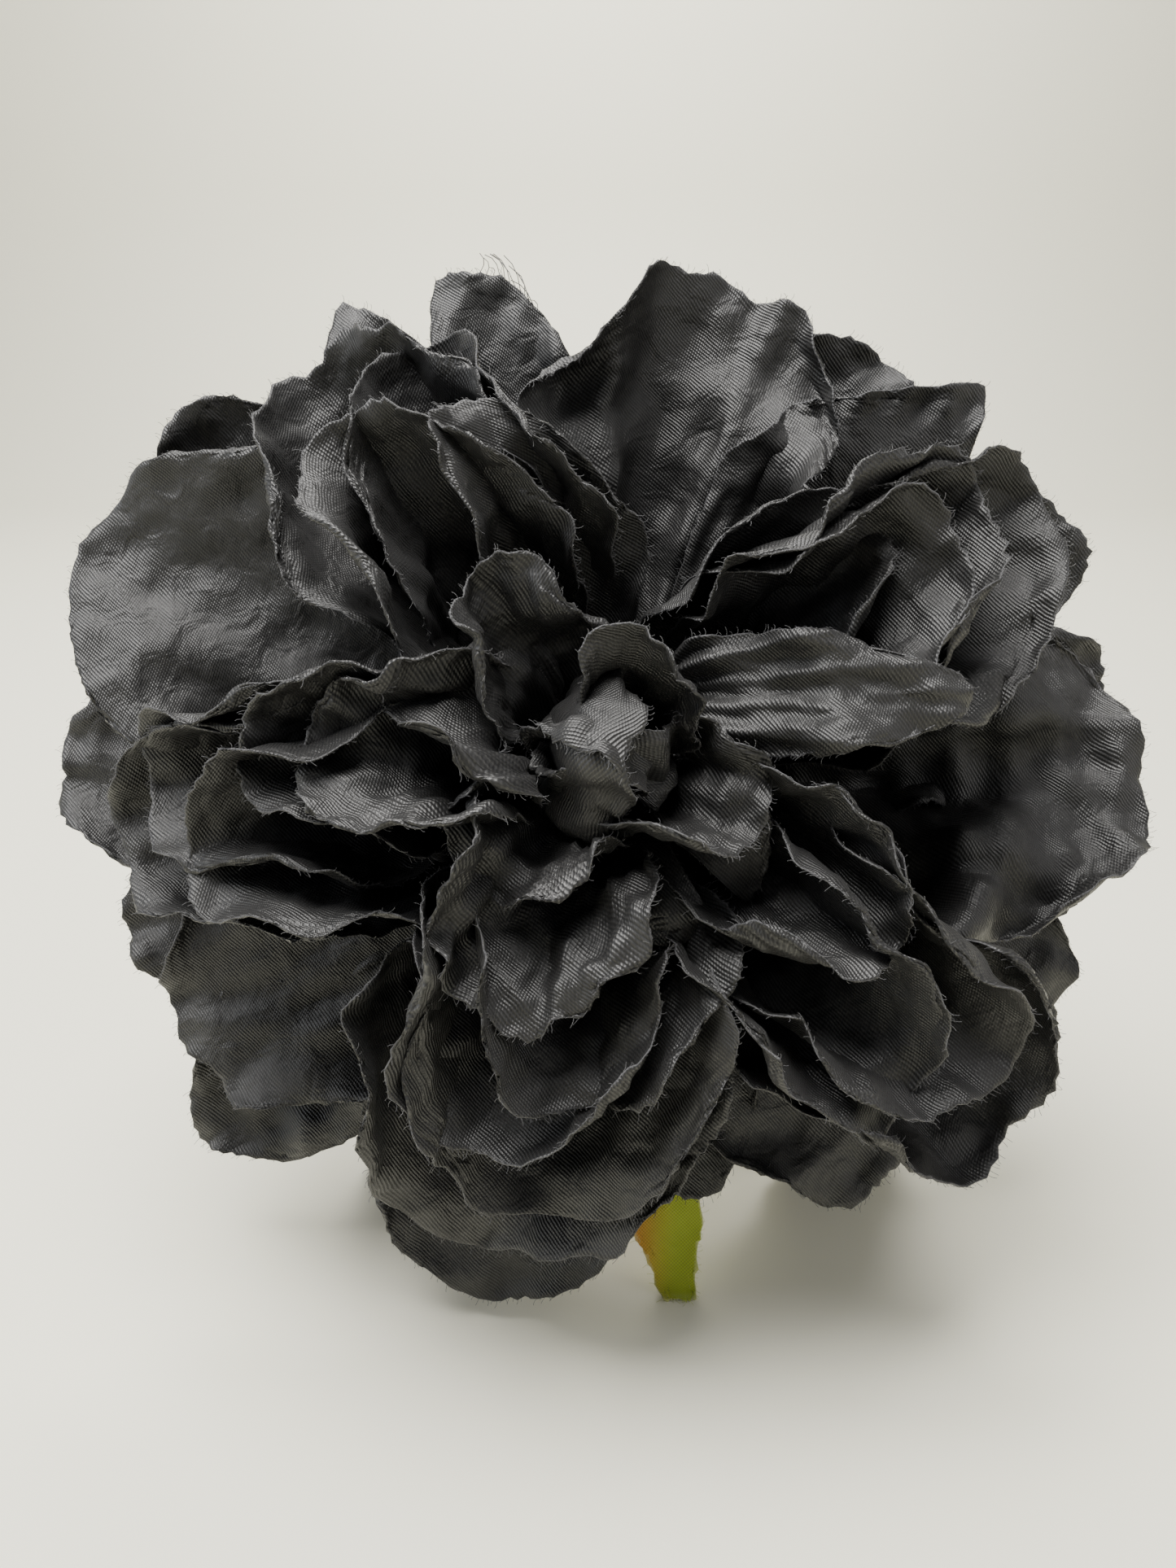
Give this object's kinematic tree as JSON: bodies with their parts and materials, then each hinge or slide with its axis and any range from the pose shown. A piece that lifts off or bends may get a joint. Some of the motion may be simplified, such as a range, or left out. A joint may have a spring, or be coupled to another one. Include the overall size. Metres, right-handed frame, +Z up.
{
  "type": "flower hair clip",
  "caption": "Large dark satin fabric peony with frayed petals and green calyx leaves, glued through a felt pad to a toothed, sprung alligator hair clip.",
  "frame": {"origin": "centre of the bounding box's footprint, on the surface the flower stands on", "axes": "+Z up as it stands on its lower petals, -Y towards the viewer that the flower faces, +X to the viewer's right along the width of the flower and of the clip"},
  "size_m": [0.133, 0.069, 0.1197],
  "materials": {
    "petal_satin": "satin-weave polyester, cut edges frayed",
    "leaf_cloth": "plain-weave polyester, dyed green to orange",
    "bud_cloth": "satin-wrapped core",
    "stem_plastic": "moulded, dark green",
    "calyx_plastic": "moulded, leaf green",
    "clear_glue": "hot-melt glue, cloudy",
    "black_felt": "pressed felt",
    "clip_steel": "nickel-plated sheet steel",
    "pin_steel": "plated, satin",
    "spring_steel": "drawn spring wire"
  },
  "bodies": {
    "flower": {"calyx_leaves": "leaf_cloth", "outer_petals_back": "petal_satin", "outer_petals_front": "petal_satin", "gathered_petals_1": "petal_satin", "gathered_petals_2": "petal_satin", "gathered_petals_3": "petal_satin", "gathered_petals_4": "petal_satin", "inner_petals": "petal_satin", "centre_petals": "petal_satin", "bud_petals": "petal_satin", "bud_core": "bud_cloth", "stem_spacers": "stem_plastic", "stem_peg": "stem_plastic", "calyx_cup": "calyx_plastic", "glue_pad": "clear_glue", "felt_backing": "black_felt", "felt_strap": "black_felt", "clip_base": "clip_steel", "clip_pin": "pin_steel", "clip_spring": "spring_steel"},
    "lever": {"clip_lever": "clip_steel"}
  },
  "joints": [
    {"name": "clip_hinge", "type": "hinge", "parent": "flower", "child": "lever", "pos_m": [0.0085, 0.02394, 0.0529], "axis": [0, -0.4067, -0.9135], "range_deg": [0, 26], "stiffness_Nm_per_rad": 0.05, "springref_deg": -45.84, "deforming": ["clip_spring"]}
  ]
}
